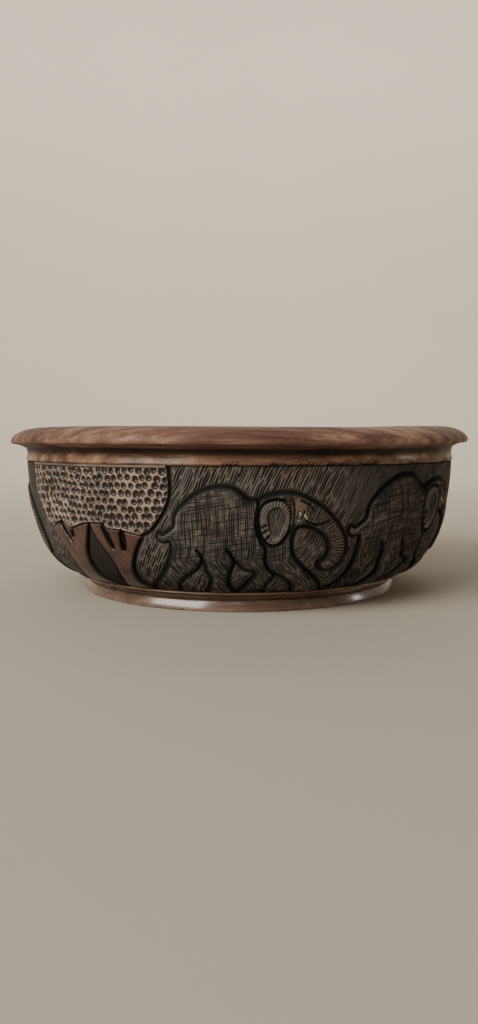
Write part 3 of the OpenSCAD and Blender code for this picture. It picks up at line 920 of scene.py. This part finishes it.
trunk_finish = tree_wood("rubbed red-brown trunks", (0.028, 0.013, 0.009), (0.07, 0.034, 0.024),
                         (0.135, 0.075, 0.054), (0.008, 0.005, 0.004), 0.34)
for number, patch in enumerate(woods, 1):
    for side, depth in patch.trunks.items():
        edge = depth + 1.1 * smooth_step((patch.canopy + 2.4) / 0.8)
        limb = -CUT + rounded(edge, 1.5, CUT - 0.2) + 0.25 * smooth_step(depth / 7)
        faint = strokes(patch.x, patch.y, 84, 3.4, 26, number * 3)
        limb -= 0.16 * faint * smooth_step((depth - 1.2) / 2)
        light = smooth_step((edge - 0.1) / 1.1) * (1 - 0.25 * faint)
        light *= 0.5 + 0.5 * smooth_step((patch.y - 3) / 17)
        patch.carve(depth > 0, limb, light)
        cut_out(f"trunk_{number}{side}", patch.cols, depth > 0, trunk_finish, "red_brown_wood",
                f"tree_trunk_{number}{side}")


# ---- The sky and the ground -------------------------------------------------------------------
# All the rest of the band, cut back below the figures and textured with slanting strokes that
# run out at the groove above. A smooth dark trench follows every figure.

BAND_MIDDLE_R = 133
turn_mm = (np.arange(COLS) / COLS * 2 * math.pi * BAND_MIDDLE_R)[:, None] + 0 * skin
high_up = frieze_y[None, :] + 0 * skin
free = -inside_any
clear = smooth_step((free - 1.1) / 1.3)
sky = strokes(turn_mm, high_up, 65, 1.4, 15, 3)
soil = strokes(turn_mm, high_up, 58, 1.35, 9, 6)
low_down = smooth_step((34 - high_up) / 8)
near_tree = np.zeros_like(skin)
for patch in woods:
    near_tree[patch.here] = smooth_step((30 - np.abs(patch.x)) / 6) * smooth_step((38 - patch.y) / 4)
    both = np.minimum(patch.canopy, np.maximum(patch.trunks["a"], patch.trunks["b"]))
    skin[patch.here] += 1.2 * smooth_step((both + 1.3) / 0.7) * (inside_any[patch.here] <= 0)
# The sky is left smoother and darker over the backs of the elephants that follow another, and on one
# side of the trees
beside = np.zeros_like(skin)
for patch, (_, _, after_tree) in zip(herd, elephants):
    if not after_tree:
        behind = smooth_step((patch.x + 66) / 22) * smooth_step((24 - patch.x) / 34)
        behind = behind * smooth_step((patch.y - 32) / 14)
        beside[patch.here] = np.maximum(beside[patch.here], behind)
for patch in woods:
    behind = smooth_step((-44 - patch.x) / 9) * smooth_step((patch.x + 84) / 16)
    beside[patch.here] = np.maximum(beside[patch.here], behind)
cut = (sky * (1 - low_down) + soil * low_down) * clear * (1 - 0.75 * near_tree) * (1 - 0.5 * beside)
ground = skin - cut * 0.72 + 0.14 * drift(turn_mm, high_up, 9, 5) * clear
skin[:] = np.where(inside_any <= 0, np.maximum(ground, -DEEPEST), skin)
# Painted shade: the trench along every figure is painted dark, down to a tenth of the sky's tone; the cuts
# keep dark stain
light = 0.76 * (0.1 + 0.9 * clear) * (1 - 0.96 * smooth_step(1.4 * cut))
light *= (1 - 0.82 * near_tree) * (1 - 0.5 * beside)
tone[:] = np.where(inside_any <= 0, light, tone)

# The band runs down into the groove at its top, and rises to a narrow dark border over the lip
GROOVE_CUT, BORDER_CUT = 1.7, 0.35
near_groove = np.clip(1 - (GROOVE_Z - band_z) / 0.9, 0, 1)[None, :]
skin[:] = skin * (1 - near_groove) - GROOVE_CUT * near_groove
tone[:] *= 1 - smooth_step(near_groove * 1.6)
border = smooth_step((2.4 - band_run) / 1.6)[None, :]
skin[:] = skin * (1 - border) + np.maximum(skin, -BORDER_CUT) * border
tone[:] *= 1 - 0.75 * border
PANELS = 8
width = COLS // 2 // PANELS
for number in range(PANELS):
    blocks = ~taken
    blocks[:number * width] = False
    blocks[(number + 1) * width:] = False
    piece_of(f"ground_{number + 1}", blocks, stained, "dark_stained_wood", "bowl_wall")


# ---- Where it stands ----------------------------------------------------------------------------
# A plain pale floor that curves up all round, a large soft window from the left, weaker lamps from
# above and from the far side, one on the backdrop alone, and a camera close in front. All in metres.

BACKDROP_R, BACKDROP_H = 2.6, 3.5
SIDES = 128
below = -0.05 * MM
curve = bend([(1.6, below), (2.4, below), (BACKDROP_R, 0.3), (BACKDROP_R, 1.1)], np.linspace(0, 1, 24))
sweep = np.concatenate([curve, [(BACKDROP_R, BACKDROP_H)]])
corners = [(0, 0, below)]
for r, z in sweep:
    for k in range(SIDES):
        turn = 2 * math.pi * k / SIDES
        corners.append((r * math.sin(turn), -r * math.cos(turn), z))
floor_faces = [(0, 1 + k, 1 + (k + 1) % SIDES) for k in range(SIDES)]
for ring in range(len(sweep) - 1):
    low, high = 1 + ring * SIDES, 1 + (ring + 1) * SIDES
    for k in range(SIDES):
        after = (k + 1) % SIDES
        floor_faces.append((low + k, high + k, high + after, low + after))
mesh = bpy.data.meshes.new("floor")
mesh.from_pydata(corners, [], floor_faces)
mesh.polygons.foreach_set("use_smooth", [True] * len(floor_faces))
floor = bpy.data.objects.new("floor", mesh)
bpy.context.scene.collection.objects.link(floor)
paper = Finish("pale floor")
tone = paper.noise((0.002, 0.002, 0.002), 2.0)
shade = paper.mix(tone, (0.465, 0.428, 0.365), (0.495, 0.455, 0.39))
mesh.materials.append(paper.close(shade, 0.8, tone, 0.02, 0.1))


def lamp(name, place, aim, size, power, colour):
    """A soft lamp with its place and what it is turned to, its width and height, and its power in watts."""
    light = bpy.data.lights.new(name, "AREA")
    light.shape = "RECTANGLE"
    light.size, light.size_y = size
    light.energy = power
    light.color = colour
    lamp_object = bpy.data.objects.new(name, light)
    bpy.context.scene.collection.objects.link(lamp_object)
    lamp_object.location = place
    lamp_object.rotation_euler = (Vector(aim) - Vector(place)).to_track_quat("-Z", "Y").to_euler()


lamp("window", (-1.35, -1.35, 1.05), (0, 0, 0.05), (1.4, 0.9), 50, (1.0, 0.95, 0.88))
lamp("ceiling", (-0.5, -1.4, 1.5), (0, 0, 0.03), (1.4, 0.9), 9.5, (1.0, 0.94, 0.86))
lamp("far side", (1.55, 0.02, 0.34), (0, 0, 0.03), (0.19, 0.25), 1.3, (1.0, 0.96, 0.9))
lamp("backdrop", (0.0, 1.2, 1.75), (0, 2.6, 0.5), (2.4, 0.8), 56, (1.0, 0.94, 0.85))
world = bpy.data.worlds.new("room")
bpy.context.scene.world = world
world.use_nodes = True
world.node_tree.nodes["Background"].inputs[0].default_value = (0.62, 0.6, 0.57, 1)
world.node_tree.nodes["Background"].inputs[1].default_value = 0.06

LENS = 29.15
EYE = (-0.0002, -0.5658, 0.099)
LOOKS_DOWN = 0.0909
camera_data = bpy.data.cameras.new("camera")
camera_data.sensor_width = 36
camera_data.sensor_fit = "AUTO"
camera_data.lens = LENS
camera = bpy.data.objects.new("camera", camera_data)
bpy.context.scene.collection.objects.link(camera)
camera.location = EYE
camera.rotation_euler = (math.pi / 2 - LOOKS_DOWN, 0, 0)
bpy.context.scene.camera = camera
